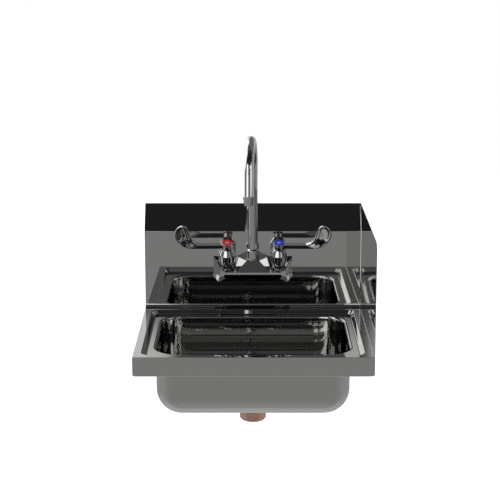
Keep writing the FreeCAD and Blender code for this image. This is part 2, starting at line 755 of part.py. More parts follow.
def make_tap_body():
    body = new_body("tap_casting")
    out = "splash_run + gasket_thickness"
    # bar between the valves: its top is square to the valves' tilted axes
    bar = new_sketch(body, "bar_section", "YZ")
    trace(bar, [
        (TAP_BACK, f"{INLET} - bar_belly_drop"),
        (f"{FACE} - bar_belly_reach", f"{INLET} - bar_belly_drop"),
        (f"{FACE} - body_reach", f"{tap_top('body_reach')} - bar_edge"),
        (f"{FACE} - body_reach", tap_top("body_reach")),
        (TAP_BACK, tap_top("gasket_thickness")),
    ])
    feature(body, "Pad", "bar", bar, "bar_half_width * 2", middle=True)
    # crown that carries the spout
    facet_loft(
        body, "crown", "XY",
        (f"{INLET} - skirt_drop", [
            ("0 - body_skirt_back", TAP_BACK),
            ("0 - body_skirt_front", f"{FACE} - body_reach"),
            ("body_skirt_front", f"{FACE} - body_reach"),
            ("body_skirt_back", TAP_BACK),
        ]),
        (PLATEAU, [
            ("0 - body_plateau_back", TAP_BACK),
            ("0 - body_plateau_front", f"{FACE} - body_plateau_reach"),
            ("body_plateau_front", f"{FACE} - body_plateau_reach"),
            ("body_plateau_back", TAP_BACK),
        ]),
    )
    # wrench bosses at the two inlets
    for side, word in ((-1, "hot"), (1, "cold")):
        top, foot = PLATEAU, TAP_FOOT
        shoulder = f"{INLET} - boss_shoulder_drop"
        wall_points = [
            ("boss_inner", f"{INLET} - bar_belly_drop"),
            ("boss_heel", foot),
            ("boss_outer", f"{INLET} - boss_heel_drop"),
            ("boss_outer", shoulder),
            ("boss_outer", top),
            ("boss_outer - boss_crown_width", tap_top("gasket_thickness")),
            ("boss_inner", tap_top("gasket_thickness")),
        ]
        front_points = [
            ("boss_front_inner", f"{INLET} - boss_front_belly_drop"),
            ("boss_front_low", foot),
            ("boss_front_toe", f"{INLET} - boss_toe_drop"),
            ("boss_front_side", shoulder),
            ("boss_front_crown", f"{INLET} + boss_front_crown_rise"),
            ("boss_front_crown - boss_front_crown_width", tap_top("body_reach - bar_edge")),
            ("bar_half_width", tap_top("body_reach - bar_edge")),
        ]
        outlines = []
        for points in (wall_points, front_points):
            flipped = [(f"{side} * ({x})", y) for x, y in points]
            outlines.append(flipped)
        reach = "splash_run + body_reach - bar_edge"
        facet_loft(body, word + "_boss", "XZ", (out, outlines[0]), (reach, outlines[1]))
    whole = body
    # bores for the cartridges and the water
    for side, word in ((-1, "hot"), (1, "cold")):
        room = tube_points("0", "cartridge_radius", "0 - cartridge_foot", "0")
        bore = valve_piece(word + "_bore", side, room)
        whole = joined("Cut", word + "_bore_cut", whole, bore)
        x, start = f"{side} * valve_spacing / 2", f"{TAP_BACK} + overrun"
        inlet = cylinder(word + "_inlet_bore", "inlet_bore", "body_reach / 2", x, start, INLET, "90")
        whole = joined("Cut", word + "_inlet_cut", whole, inlet)
    socket_foot = f"{PLATEAU} - spout_socket"
    room = "spout_radius + running_gap"
    socket = cylinder("socket", room, "spout_socket + overrun", "0", SPOUT_Y, socket_foot)
    whole = joined("Cut", "socket_cut", whole, socket)
    gallery_foot = f"{socket_foot} - spout_socket / 2"
    gallery = cylinder("gallery", "inlet_bore", "spout_socket", "0", SPOUT_Y, gallery_foot)
    whole = joined("Cut", "gallery_cut", whole, gallery)
    return node("tap_body", whole)


def valve_piece(name, side, points):
    """A piece turned about one valve's tilted axis, whose zero is the middle of the blade."""
    return turned(name, points, f"{side} * valve_spacing / 2", BLADE_Y, BLADE, "valve_tilt")


def make_inlets():
    for side, word in ((-1, "hot"), (1, "cold")):
        x, z = f"{side} * valve_spacing / 2", INLET
        # a turned piece laid along Y: its own height runs towards the wall
        lie = "-90"
        nut_end = "gasket_thickness + sheet_thickness + shank_washer_thickness + shank_nut_height"
        shank = turned(word + "_shank", [
            ("inlet_bore", "0"),
            ("inlet_radius", "0"),
            ("inlet_radius", nut_end),
            ("shank_tail_radius", nut_end),
            ("shank_tail_radius", "gasket_thickness + shank_length"),
            ("inlet_bore", "gasket_thickness + shank_length"),
        ], x, TAP_BACK, z, lie)
        node(word + "_shank", shank)
        washer = tube_points("inlet_radius", "shank_washer_radius", "0", "shank_washer_thickness")
        node(word + "_shank_washer", turned(word + "_shank_washer", washer, x, BACK, z, lie))
        start = f"{BACK} + shank_washer_thickness"
        prism = hexagon(word + "_nut_hexagon", "shank_nut_flats", "shank_nut_height", x, start, z, lie)
        hole = cylinder(word + "_nut_hole", "inlet_radius", "shank_nut_height", x, start, z, lie)
        node(word + "_locknut", joined("Cut", word + "_locknut", prism, hole))
    body = new_body("tap_gasket")
    sketch = new_sketch(body, "gasket_outline", "XZ", "splash_run")
    inset = "bar_edge"
    half_height = f"(plateau_rise + boss_foot_drop) / 2 - {inset}"
    middle = f"{INLET} + (plateau_rise - boss_foot_drop) / 2"
    trace(sketch, rounded_outline(f"boss_outer - {inset} * 2", half_height, inset, middle))
    feature(body, "Pad", "gasket_sheet", sketch, "gasket_thickness")
    holes = new_sketch(body, "gasket_holes", "XZ", "splash_run")
    for side, word in ((-1, "hot"), (1, "cold")):
        circle(holes, f"{side} * valve_spacing / 2", INLET, "inlet_radius + running_gap", word)
    feature(body, "Pocket", "gasket_cut", holes, "gasket_thickness * 2", reverse=True)
    node("tap_gasket", body)


# Valves: cartridge, stem, bell bonnet, wrist blade, colour ring and screw

def make_valves():
    for side, word in ((-1, "hot"), (1, "cold")):
        stem_room = "stem_radius + running_gap"
        base, top = "0 - bonnet_base", "0 - bonnet_top"
        collar = "0 - bonnet_shoulder - bonnet_wall * 2"
        node(word + "_cartridge", valve_piece(word + "_cartridge", side, [
            ("0", "0 - cartridge_foot"),
            ("cartridge_radius - running_gap", "0 - cartridge_foot"),
            ("cartridge_radius - running_gap", collar),
            (stem_room, collar),
            (stem_room, "0 - stem_bottom - running_gap"),
            ("0", "0 - stem_bottom - running_gap"),
        ]))
        wall = "bonnet_wall"
        shoulder, belly = "0 - bonnet_shoulder", "0 - bonnet_belly"
        node(word + "_bonnet", valve_piece(word + "_bonnet", side, [
            ("bonnet_foot_radius - bonnet_wall", base),
            ("bonnet_foot_radius", base),
            ("bonnet_belly_radius", belly, "bonnet_side_bend", 1),
            ("bonnet_belly_radius", shoulder),
            ("bonnet_neck_radius + bonnet_wall", f"{top} - bonnet_wall", "bonnet_dome", 1),
            ("bonnet_neck_radius", top),
            (f"{stem_room} + {wall}", top),
            (f"{stem_room} + {wall}", f"{top} - {wall}"),
            (f"bonnet_neck_radius - {wall} / 2", f"{top} - {wall}"),
            (f"bonnet_belly_radius - {wall}", f"{shoulder} - {wall}"),
            (f"bonnet_belly_radius - {wall}", belly),
        ]))
        hub_foot = "0 - hub_bottom"
        node(word + "_stem", valve_piece(word + "_stem", side, [
            ("0", "0 - stem_bottom"),
            ("stem_radius", "0 - stem_bottom"),
            ("stem_radius", "0"),
            ("screw_radius", "0"),
            ("screw_radius", "0 - hub_bottom"),
            ("0", "0 - hub_bottom"),
        ]))
        hub = valve_piece(word + "_hub", side, [
            ("stem_radius", hub_foot),
            ("hub_radius", hub_foot),
            ("hub_radius", "hub_top - hub_top_radius / 2"),
            ("hub_top_radius", "hub_top - ring_thickness * 2"),
            ("hub_top_radius", "hub_top"),
            ("ring_radius", "hub_top"),
            ("ring_radius", "hub_top - ring_thickness"),
            ("screw_radius", "hub_top - ring_thickness"),
            ("screw_radius", "0"),
            ("stem_radius", "0"),
        ])
        blade = make_blade(word, side)
        node(word + "_handle", joined("Fuse", word + "_handle", hub, blade))
        ring = tube_points("ring_bore", "ring_radius", "hub_top - ring_thickness", "hub_top")
        node(word + "_index_ring", valve_piece(word + "_index_ring", side, ring))
        node(word + "_handle_screw", valve_piece(word + "_handle_screw", side, [
            ("0", "0 - hub_bottom"),
            ("screw_radius", "0 - hub_bottom"),
            ("screw_radius", "hub_top - ring_thickness"),
            ("screw_head_radius", "hub_top - ring_thickness"),
            ("screw_head_radius", "hub_top"),
            ("0", "hub_top"),
        ]))


def make_blade(word, side):
    """The wrist blade: a flat bar that sweeps up into a rounded paddle."""
    body = new_body(word + "_blade")
    sketch = new_sketch(body, word + "_blade_outline", "XZ")
    start = "(hub_radius + stem_radius) / 2"
    turn = 1 if side > 0 else -1
    points = [
        (start, "0 - blade_bar_bottom"),
        ("blade_heel_reach", "0 - blade_bar_bottom"),
        ("blade_tip_reach", "blade_tip", "blade_swell", turn),
        ("blade_crown_reach", "blade_crown", "blade_crown - blade_tip", turn),
        ("blade_neck_reach", "blade_neck", "blade_crown_reach - blade_neck_reach", turn),
        ("blade_rise_reach", "blade_rise", "blade_neck", -turn),
        ("blade_bar_end", "blade_bar_top", "blade_rise_reach - blade_bar_end + blade_bar_top", -turn),
        (start, "blade_bar_top"),
    ]
    trace(sketch, [(f"{side} * ({point[0]})",) + tuple(point[1:]) for point in points])
    feature(body, "Pad", word + "_blade_pad", sketch, "blade_thickness", middle=True)
    place(body, f"{side} * valve_spacing / 2", BLADE_Y, BLADE, "valve_tilt")
    # the long edges are softened as far up as the tip; the crown's own corners stay crisp
    tip = mm("blade_tip")
    doc.recompute()
    upright = body.Placement.inverse()

    def long_edge(edge):
        ends = [upright.multVec(vertex.Point) for vertex in edge.Vertexes]
        across = abs(ends[0].x - ends[-1].x)
        return across > CLOSE and max(end.z for end in ends) < tip + CLOSE

    return rounded(word + "_blade_soft", body, "blade_soft", long_edge)


# Spout: swivelling gooseneck with its nut, ring, seals and aerator

def leg_reach(along):
    """How far out from the riser the leg's axis is, at a length along it from the outlet's foot."""
    height = f"{SPOUT_END} + ({along}) * cos(spout_lean)"
    return f"({ARCH_REACH} + ({ARCH_END} - ({height})) * tan(spout_lean))"


def make_spout():
    base = PLATEAU
    body = new_body("gooseneck")
    path = new_sketch(body, "spout_path", "YZ")
    foot = f"{base} - spout_socket"
    centre = ARCH_CENTRE
    end = f"{SPOUT_END} + aerator_seat * cos(spout_lean)"
    tip_out = f"0 - {leg_reach('aerator_seat')}"
    # an open path: up the riser, over the arch and down the leaning leg to the aerator
    low, high = FreeCAD.Vector(0, mm(foot), 0), FreeCAD.Vector(0, mm(centre), 0)
    over = FreeCAD.Vector(0 - mm(ARCH_REACH), mm(ARCH_END), 0)
    tip = FreeCAD.Vector(mm(tip_out), mm(end), 0)
    path.addGeometry(Part.LineSegment(low, high), False)
    path.addGeometry(arc_between(high, over, mm("spout_bend"), 1), False)
    path.addGeometry(Part.LineSegment(over, tip), False)
    path.addConstraint(Sketcher.Constraint("Coincident", 0, 2, 1, 1))
    path.addConstraint(Sketcher.Constraint("Coincident", 1, 2, 2, 1))
    pin_coordinate(path, "DistanceX", -2, 0, 1, "0", "footx")
    pin_coordinate(path, "DistanceY", -1, 0, 1, foot, "footy")
    pin_coordinate(path, "DistanceX", -2, 0, 2, "0", "risex")
    pin_coordinate(path, "DistanceY", -1, 0, 2, centre, "risey")
    pin_coordinate(path, "DistanceX", -2, 1, 3, "0 - spout_bend", "bendx")
    pin_coordinate(path, "DistanceY", -1, 1, 3, centre, "bendy")
    pin_coordinate(path, "DistanceY", -1, 2, 1, ARCH_END, "overy")
    pin_coordinate(path, "DistanceX", -2, 2, 2, tip_out, "tipx")
    pin_coordinate(path, "DistanceY", -1, 2, 2, end, "tipy")
    section = new_sketch(body, "spout_section", "XY", foot)
    circle(section, "0", "0", "spout_radius - running_gap / 2", "outer")
    circle(section, "0", "0", "spout_radius - spout_wall", "inner")
    pipe = body.newObject("PartDesign::AdditivePipe", "spout_pipe")
    pipe.Profile = section
    pipe.Spine = path
    place(body, "0", SPOUT_Y, "0", "0 - spout_swing", (0, 0, 1))
    node("gooseneck", body)
    ring_top = f"{base} + base_ring_height"
    crown = "spout_nut_height - spout_nut_crown"
    room = "spout_radius + running_gap"
    washer = tube_points(room, "base_ring_radius", "0", "base_ring_height")
    node("spout_base_ring", turned("spout_base_ring", washer, "0", SPOUT_Y, base))
    node("spout_nut", turned("spout_nut", [
        (room, "0"),
        ("base_ring_radius", "0"),
        ("spout_nut_radius", "spout_nut_radius - base_ring_radius"),
        ("spout_nut_radius", crown),
        ("spout_nut_radius - spout_nut_crown", "spout_nut_height", "spout_nut_crown", 1),
        (room, "spout_nut_height"),
    ], "0", SPOUT_Y, ring_top))
    make_aerator()


def make_aerator():
    """Shell, washer and screen at the spout's outlet, turned about the swung leg's axis."""
    x = f"0 - sin(spout_swing) * {leg_reach('0')}"
    y = f"{SPOUT_Y} - cos(spout_swing) * {leg_reach('0')}"
    swing = math.radians(mm("spout_swing"))
    lie = ("0 - spout_lean", (math.cos(swing), 0 - math.sin(swing), 0))
    foot = SPOUT_END
    tall = "aerator_height"
    room = "spout_radius"
    shelf = "aerator_seat - aerator_washer"
    node("aerator_shell", turned("aerator_shell", [
        ("aerator_bore - aerator_lip", "0"),
        ("aerator_bottom_radius", "0"),
        ("aerator_top_radius", tall),
        (room, tall),
        (room, shelf),
        ("aerator_bore", shelf),
        ("aerator_bore", "aerator_lip"),
        ("aerator_bore - aerator_lip", "aerator_lip"),
    ], x, y, foot, *lie))
    screen = tube_points("0", "aerator_bore", "aerator_lip", shelf)
    node("aerator_screen", turned("aerator_screen", screen, x, y, foot, *lie))
    washer = tube_points("aerator_bore - aerator_washer", room, shelf, "aerator_seat")
    node("aerator_washer", turned("aerator_washer", washer, x, y, foot, *lie))


make_deck()
make_bowl()
make_backsplash()
make_end_cap()
make_side_splash()
make_bracket()
make_drain()
make_tap_body()
make_inlets()
make_valves()
make_spout()

# Nothing is written unless every object and every piece is sound
doc.recompute()
for thing in doc.Objects:
    if "Invalid" in thing.State or "Error" in thing.State:
        raise SystemExit(f"{thing.Name} failed: {thing.State}")
for name, thing in NODES.items():
    shape = thing.Shape
    if shape.isNull() or not shape.isValid() or not shape.Solids:
        raise SystemExit(f"{name} has no sound solid")
    shape.exportStep(f"parts/{name}.step")
    print(name, "solids", len(shape.Solids), "volume", round(shape.Volume, 1))
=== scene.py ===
import math

import bmesh
import bpy
from mathutils import Matrix, Vector


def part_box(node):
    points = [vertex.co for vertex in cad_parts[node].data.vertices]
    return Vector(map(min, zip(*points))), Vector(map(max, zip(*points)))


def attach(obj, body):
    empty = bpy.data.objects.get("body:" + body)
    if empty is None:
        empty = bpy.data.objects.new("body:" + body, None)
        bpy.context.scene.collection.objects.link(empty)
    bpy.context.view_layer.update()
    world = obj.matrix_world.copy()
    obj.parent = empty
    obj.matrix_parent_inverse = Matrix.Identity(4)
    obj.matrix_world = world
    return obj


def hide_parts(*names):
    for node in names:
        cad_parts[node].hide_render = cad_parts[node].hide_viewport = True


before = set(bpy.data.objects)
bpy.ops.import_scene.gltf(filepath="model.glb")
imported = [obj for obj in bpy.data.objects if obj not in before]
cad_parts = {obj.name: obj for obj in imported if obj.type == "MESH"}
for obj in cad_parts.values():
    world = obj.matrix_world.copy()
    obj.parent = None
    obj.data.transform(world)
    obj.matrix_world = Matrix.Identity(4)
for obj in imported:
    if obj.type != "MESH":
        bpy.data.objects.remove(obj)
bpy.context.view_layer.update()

# The basin's bare lengths are in millimetres, and MM turns them into metres. The room's are in metres.
# Heights are above the rim, but in the profile of a turned piece they run along its own axis.
MM = 0.001
DECK = ["deck_left", "deck_right", "deck_front", "deck_rear"]
BOWL = ["bowl_left", "bowl_right", "bowl_front", "bowl_rear", "bowl_floor"]
DECK_LOW, DECK_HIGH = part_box("deck_right")
RIM = DECK_HIGH.z
FRONT = DECK_LOW.y
REAR = DECK_HIGH.y
HALF = DECK_HIGH.x
FACE = -33.5 * MM
SHEET = 1.2 * MM


# Materials

NOISE_DETAIL = 4
BUMP_HEIGHT = 0.2 * MM


def shader(name, color, metallic):
    """A material with a Principled shader of one colour: the material, its node tree and the shader."""
    material = bpy.data.materials.new(name)
    material.use_nodes = True
    principled = material.node_tree.nodes["Principled BSDF"]
    principled.inputs["Base Color"].default_value = (*color, 1)
    principled.inputs["Metallic"].default_value = metallic
    return material, material.node_tree, principled


def grain(tree, principled, low, high, size, stretch=(1, 1, 1), bump=0.0):
    """Uneven polish: a noise in the object's own space that moves the roughness and, faintly, the surface."""
    nodes, links = tree.nodes, tree.links
    place = nodes.new("ShaderNodeTexCoord")
    scale = nodes.new("ShaderNodeMapping")
    scale.inputs["Scale"].default_value = stretch
    noise = nodes.new("ShaderNodeTexNoise")
    noise.inputs["Scale"].default_value = size
    noise.inputs["Detail"].default_value = NOISE_DETAIL
    spread = nodes.new("ShaderNodeMapRange")
    spread.inputs["To Min"].default_value = low
    spread.inputs["To Max"].default_value = high
    links.new(place.outputs["Object"], scale.inputs["Vector"])
    links.new(scale.outputs["Vector"], noise.inputs["Vector"])
    links.new(noise.outputs["Fac"], spread.inputs["Value"])
    links.new(spread.outputs["Result"], principled.inputs["Roughness"])
    if bump:
        lift = nodes.new("ShaderNodeBump")
        lift.inputs["Strength"].default_value = bump
        lift.inputs["Distance"].default_value = BUMP_HEIGHT
        links.new(noise.outputs["Fac"], lift.inputs["Height"])
        links.new(lift.outputs["Normal"], principled.inputs["Normal"])


def metal(name, color, low, high, size, stretch=(1, 1, 1), bump=0.0):
    material, tree, principled = shader(name, color, 1.0)
    grain(tree, principled, low, high, size, stretch, bump)
    return material


def plastic(name, color, low, high, shine=0.5):
    material, tree, principled = shader(name, color, 0.0)
    principled.inputs["Specular IOR Level"].default_value = shine
    grain(tree, principled, low, high, size=200.0, bump=0.05)
    return material


# Name, colour, least and greatest roughness, and for a metal how fine its grain is and how it is stretched
STEEL = metal("sheet_steel", (0.5, 0.5, 0.49), 0.025, 0.05, 14.0, (1, 1, 6))
CHROME = metal("chrome_plate", (0.52, 0.52, 0.52), 0.02, 0.04, 60.0)
SATIN = metal("satin_cap", (0.62, 0.62, 0.61), 0.28, 0.36, 150.0, bump=0.05)
BRASS = metal("turned_brass", (0.42, 0.37, 0.13), 0.2, 0.32, 150.0, bump=0.1)
COPPER = metal("copper_brass", (0.66, 0.38, 0.3), 0.1, 0.18, 120.0, bump=0.05)
ZINC = metal("zinc_plate", (0.55, 0.56, 0.58), 0.25, 0.4, 150.0, bump=0.1)
RUBBER = plastic("soft_rubber", (0.02, 0.02, 0.02), 0.6, 0.8)
RED = plastic("red_ring", (0.42, 0.015, 0.02), 0.35, 0.45, shine=0.1)
BLUE = plastic("blue_ring", (0.015, 0.04, 0.5), 0.35, 0.45, shine=0.1)
SCREEN = plastic("screen_plastic", (0.25, 0.25, 0.25), 0.35, 0.5)

CAD_MATERIALS = {
    STEEL: DECK + BOWL + ["backsplash", "left_end_cap", "side_splash", "wall_bracket", "drain_strainer",
                          "strainer_screw", "drain_washer"],
    CHROME: ["drain_flange", "tap_body", "hot_bonnet", "cold_bonnet", "hot_handle", "cold_handle",
             "gooseneck", "spout_nut", "aerator_shell"],
    SATIN: ["hot_handle_screw", "cold_handle_screw"],
    BRASS: ["hot_shank", "cold_shank", "hot_locknut", "cold_locknut", "hot_cartridge", "cold_cartridge",
            "hot_stem", "cold_stem", "spout_base_ring"],
    COPPER: ["drain_locknut", "drain_coupling_nut"],
    ZINC: ["hot_shank_washer", "cold_shank_washer"],
    RUBBER: ["drain_gasket", "tap_gasket", "aerator_washer"],
    SCREEN: ["aerator_screen"],
    RED: ["hot_index_ring"],
    BLUE: ["cold_index_ring"],
}
for material, names in CAD_MATERIALS.items():
    for name in names:
        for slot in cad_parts[name].material_slots:
            slot.material = material


# Mesh helpers

SAME_PLACE = 0.001 * MM
LATHE_AROUND = 96


def build(name, points, faces, material, body="basin", sharp=30, weighted=True):
    """A smooth-shaded piece from points and faces, riding on a body."""
    mesh = bpy.data.meshes.new(name)
    mesh.from_pydata([tuple(point) for point in points], [], faces)
    tidy = bmesh.new()
    tidy.from_mesh(mesh)
    bmesh.ops.remove_doubles(tidy, verts=tidy.verts, dist=SAME_PLACE)
    bmesh.ops.recalc_face_normals(tidy, faces=tidy.faces)
    tidy.to_mesh(mesh)
    tidy.free()
    mesh.materials.append(material)
    piece = bpy.data.objects.new(name, mesh)
    bpy.context.scene.collection.objects.link(piece)
    mesh.shade_smooth()
    mesh.set_sharp_from_angle(angle=math.radians(sharp))
    if weighted:
        keep_flats_flat(piece)
    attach(piece, body)
    return piece


def keep_flats_flat(piece):
    """Shades by the larger faces, so that flat ones look flat up to their bends."""
    even = piece.modifiers.new("even", "WEIGHTED_NORMAL")
    even.keep_sharp = True


def stands_for(piece, slot, *nodes):
    """Hides the nodes that a piece stands in for. The piece itself and the slot, what it is made of, are not
    used.
    """
    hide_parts(*nodes)


def strips(count, length, closed=True):
    """Quads between count rows of length points each."""
    faces = []
    last = length if closed else length - 1
    for row in range(count - 1):
        here, above = row * length, (row + 1) * length
        for index in range(last):
            after = (index + 1) % length
            faces.append((here + index, here + after, above + after, above + index))
    return faces


def capped_strips(count, around):
    """Quads between count rings of around points each, with the first and the last ring filled."""
    last = (count - 1) * around
    return strips(count, around) + [tuple(range(around)), tuple(range(last, last + around))]


def arc(centre, radius, start, end, steps):
    """Points (x, y) on an arc about a centre, from one angle to another in degrees."""
    points = []
    for step in range(steps + 1):
        angle = math.radians(start + (end - start) * step / steps)
        points.append((centre[0] + radius * math.cos(angle), centre[1] + radius * math.sin(angle)))
    return points


def rounded_line(corners, steps):
    """A polyline whose inner corners are arcs. A corner is (x, y) or (x, y, radius)."""
    line = []
    for index, corner in enumerate(corners):
        here = Vector(corner[:2])
        radius = corner[2] if len(corner) > 2 else 0
        if not radius:
            line.append(here)
            continue
        back = (Vector(corners[index - 1][:2]) - here).normalized()
        ahead = (Vector(corners[index + 1][:2]) - here).normalized()
        half = back.angle(ahead) / 2
        centre = here + (back + ahead).normalized() * radius / math.sin(half)
        reach = radius / math.tan(half)
        start, end = here + back * reach - centre, here + ahead * reach - centre
        turn = math.atan2(start.x * end.y - start.y * end.x, start.dot(end))
        line += [centre + Matrix.Rotation(turn * step / steps, 2) @ start for step in range(steps + 1)]
    return line


def lathe(name, profile, place, body="basin"):
    """A turned piece of chrome: profile is [(radius, height)] about the upright axis of a frame."""
    points = []
    for radius, height in profile:
        for step in range(LATHE_AROUND):
            angle = 2 * math.pi * step / LATHE_AROUND
            spot = Vector((radius * math.cos(angle), radius * math.sin(angle), height))
            points.append(place @ (spot * MM))
    return build(name, points, strips(len(profile), LATHE_AROUND), CHROME, body)


def sweep(line, radius, around):
    """Points (side, x, y) in rings round a line of points (x, y), which lies in a plane."""
    points = []
    for index, here in enumerate(line):
        before, after = line[max(index - 1, 0)], line[min(index + 1, len(line) - 1)]
        way = (after - before).normalized()
        for step in range(around):
            angle = 2 * math.pi * step / around
            side, out = radius * math.cos(angle), radius * math.sin(angle)
            points.append((side, here.x - way.y * out, here.y + way.x * out))
    return points


# Where the points of a straight side lie, as shares of its length: close together near its ends
SIDE_SHARES = [0.005, 0.01, 0.016, 0.03, 0.06, 0.1, 0.16, 0.24, 0.33, 0.42]
SIDE_SHARES += [0.5] + [1 - share for share in reversed(SIDE_SHARES)]
CORNER_STEPS = 14


def ring(low_x, high_x, low_y, high_y, corner, z):
    """Points round a rectangle with round corners, always as many and in the same order."""
    arcs = []
    for x, y, start in ((high_x, low_y, -90), (high_x, high_y, 0), (low_x, high_y, 90), (low_x, low_y, 180)):
        centre = (x - corner if x == high_x else x + corner, y - corner if y == high_y else y + corner)
        bend = arc(centre, corner, start, start + 90, CORNER_STEPS)
        arcs.append([Vector((*point, z)) for point in bend])
    points = []
    for index, bend in enumerate(arcs):
        following = arcs[(index + 1) % 4][0]
        points += bend + [bend[-1].lerp(following, share) for share in SIDE_SHARES]
    return points


def drain_ring(radius, z, like):
    """A circle about the bowl's centre with a point towards each point of another ring."""
    centre = Vector((0, BOWL_Y, z))
    points = []
    for point in like:
        way = Vector((point.x, point.y - BOWL_Y, 0)).normalized()
        points.append(centre + way * radius)
    return points


def face_towards(mesh, faces, way):
    """Turns a whole skin over if the largest of the given faces looks away from a direction."""
    largest = max(faces, key=lambda face: face.area)
    if largest.normal.dot(way) < 0:
        flip = bmesh.new()
        flip.from_mesh(mesh)
        bmesh.ops.reverse_faces(flip, faces=flip.faces)
        flip.to_mesh(mesh)
        flip.free()


def thicken(piece):
    """Gives a skin the sheet's thickness behind its face."""
    skin = piece.modifiers.new("sheet", "SOLIDIFY")
    skin.thickness = SHEET
    skin.offset = -1
    skin.use_even_offset = True
    keep_flats_flat(piece)


# Pressed pan: apron, rim, marine step, ledge, rolled edge and bowl in one skin

# Apron: its drop, its upper bend, which goes on from the rim's edge at 90 degrees, and its foot
APRON = 36.5
APRON_BEND = 0.6
BEND_START = 67.5
PANEL_ROWS = (-8, -20)
HEM_BEND = 2.4
HEM_EDGE = 1.0
FOOT_CORNER = 4.8
PLAN_CORNER = 0.3
# Rim and marine step, with the bends above and below the step
RIM_WIDTH = 14.9
REAR_RIM = 24.0
ON_RIM = 0.01 * MM
STEP_WIDTH = 7.1
STEP_DROP = 8.0
STEP_CORNER = 16.0
STEP_BENDS = (3.0, 4.0)
STEP_RUN = 3
# Rolled edge and bowl
LEDGE_MARGIN = 0.8
EDGE_ROLL = 5.7
BOWL_CORNER = 48.0
BOWL_DEPTH = 123.5
BOWL_HALF_X = 177.8
BOWL_FRONT = FRONT + 46.5 * MM
BOWL_REAR = FACE - 40.5 * MM
BOWL_Y = (BOWL_FRONT + BOWL_REAR) / 2
WALL_ROWS = (-30, -50, -70)
FLOOR_RADIUS = 45.0
FLOOR_SHARES = (0.35, 0.7, 1.0)
DRAIN_HOLE = 20.5


def step_ring(inset, z):
    """The marine step's outline, moved inwards, at a height above the rim."""
    reach = HALF - (RIM_WIDTH + inset) * MM
    front, rear = FRONT + (RIM_WIDTH + inset) * MM, FACE - (REAR_RIM + inset) * MM
    return ring(-reach, reach, front, rear, (STEP_CORNER - inset) * MM, RIM + z * MM)


def bowl_ring(outset, z):
    """The bowl's wall, moved outwards, at a height above the rim."""
    reach, more = (BOWL_HALF_X + outset) * MM, outset * MM
    return ring(-reach, reach, BOWL_FRONT - more, BOWL_REAR + more, (BOWL_CORNER + outset) * MM, RIM + z * MM)


def pan_rows():
    """Rings from the rim's outer edge inwards and down to the drain hole."""
    bend = APRON_BEND * MM
    rows = [ring(-HALF + bend, HALF - bend, FRONT + bend, REAR, PLAN_CORNER * MM, RIM)]
    high_bend, low_bend = STEP_BENDS
    step = rounded_line([(-STEP_RUN, 0), (0, 0, high_bend), (STEP_WIDTH, -STEP_DROP, low_bend),
                         (STEP_WIDTH + STEP_RUN, -STEP_DROP)], steps=5)
    rows += [step_ring(point.x, point.y) for point in step[1:-1]]
    roll = arc((EDGE_ROLL, -STEP_DROP - EDGE_ROLL), EDGE_ROLL, 90, 180, steps=10)
    rows.append(bowl_ring(EDGE_ROLL + LEDGE_MARGIN, -STEP_DROP))
    rows += [bowl_ring(out, z) for out, z in roll]
    rows += [bowl_ring(0, z) for z in WALL_ROWS]
    floor = -STEP_DROP - BOWL_DEPTH
    foot = arc((-FLOOR_RADIUS, floor + FLOOR_RADIUS), FLOOR_RADIUS, 0, -90, steps=15)
    rows += [bowl_ring(out, z) for out, z in foot]
    last = rows[-1]
    hole = drain_ring(DRAIN_HOLE * MM, RIM + floor * MM, last)
    rows += [[a.lerp(b, share) for a, b in zip(last, hole)] for share in FLOOR_SHARES]
    return rows


def apron_rows(rim_edge):
    """Rows that hang from the rim's front and two sides: bend, panel and the bend at its foot."""
    bend, hem = APRON_BEND, APRON_BEND - HEM_BEND
    profile = arc((0, -bend), bend, BEND_START, 0, steps=3)
    profile += [(bend, height) for height in PANEL_ROWS]
    profile += arc((hem, -APRON + HEM_BEND), HEM_BEND, 0, -90, steps=5)
    profile.append((hem - HEM_EDGE, -APRON))
    count = len(rim_edge)
    near = PLAN_CORNER * MM
    skirt = [index for index in range(count) if rim_edge[index].y < REAR - 1.5 * near or
             abs(abs(rim_edge[index].x) - HALF + bend * MM) < SAME_PLACE]
    start = next(index for index in skirt if (index - 1) % count not in skirt)
    order = [(start + step) % count for step in range(len(skirt))]
    rows = [[rim_edge[index] for index in order]]
    for out, height in profile:
        row = []
        for index in order:
            point = rim_edge[index]
            side = max(0.0, abs(point.x) - (HALF - bend * MM) + near)
            ahead = max(0.0, FRONT + bend * MM + near - point.y)
            across = Vector((math.copysign(side, point.x), -ahead, 0)).normalized()
            up = corner_rise(point, height)
            row.append(Vector((point.x, point.y, RIM + (height + up) * MM)) + across * out * MM)
        rows.append(row)
    return rows


def corner_rise(point, height):
    """How far the apron's foot is lifted near its two front corners, which are cut round."""
    near_side, near_front = (HALF - abs(point.x)) / MM, (point.y - FRONT) / MM
    away = max(near_side, near_front)
    if away >= FOOT_CORNER or height > -APRON / 2:
        return 0.0
    full = FOOT_CORNER - math.sqrt(FOOT_CORNER ** 2 - (FOOT_CORNER - max(away, 0)) ** 2)
    return full * min(1.0, (-height - APRON / 2) / (APRON / 2 - HEM_BEND))


def make_pan():
    """One skin from the rim inwards to the drain hole, with the apron's rows below the rim's edge."""
    rows = pan_rows()
    width = len(rows[0])
    hanging = apron_rows(rows[0])
    points = [point for row in rows + hanging for point in row]
    base = len(rows) * width
    faces = strips(len(rows), width)
    skirt = strips(len(hanging), len(hanging[0]), closed=False)
    faces += [tuple(base + value for value in face) for face in skirt]
    pan = build("basin_pan", points, faces, STEEL, sharp=50, weighted=False)
    on_rim = [face for face in pan.data.polygons if abs(face.center.z - RIM) < ON_RIM]
    face_towards(pan.data, on_rim, Vector((0, 0, 1)))
    thicken(pan)
    stands_for(pan, "stainless", *DECK, *BOWL)


# Backsplash: one bent sheet from the cove to the flange that hangs on the wall bracket

COVE = 6.2
KINK = 155.0
KINK_BEND = 1.0
TOP = 206.8
TOP_BEND = 0.3
FLANGE = 16.0
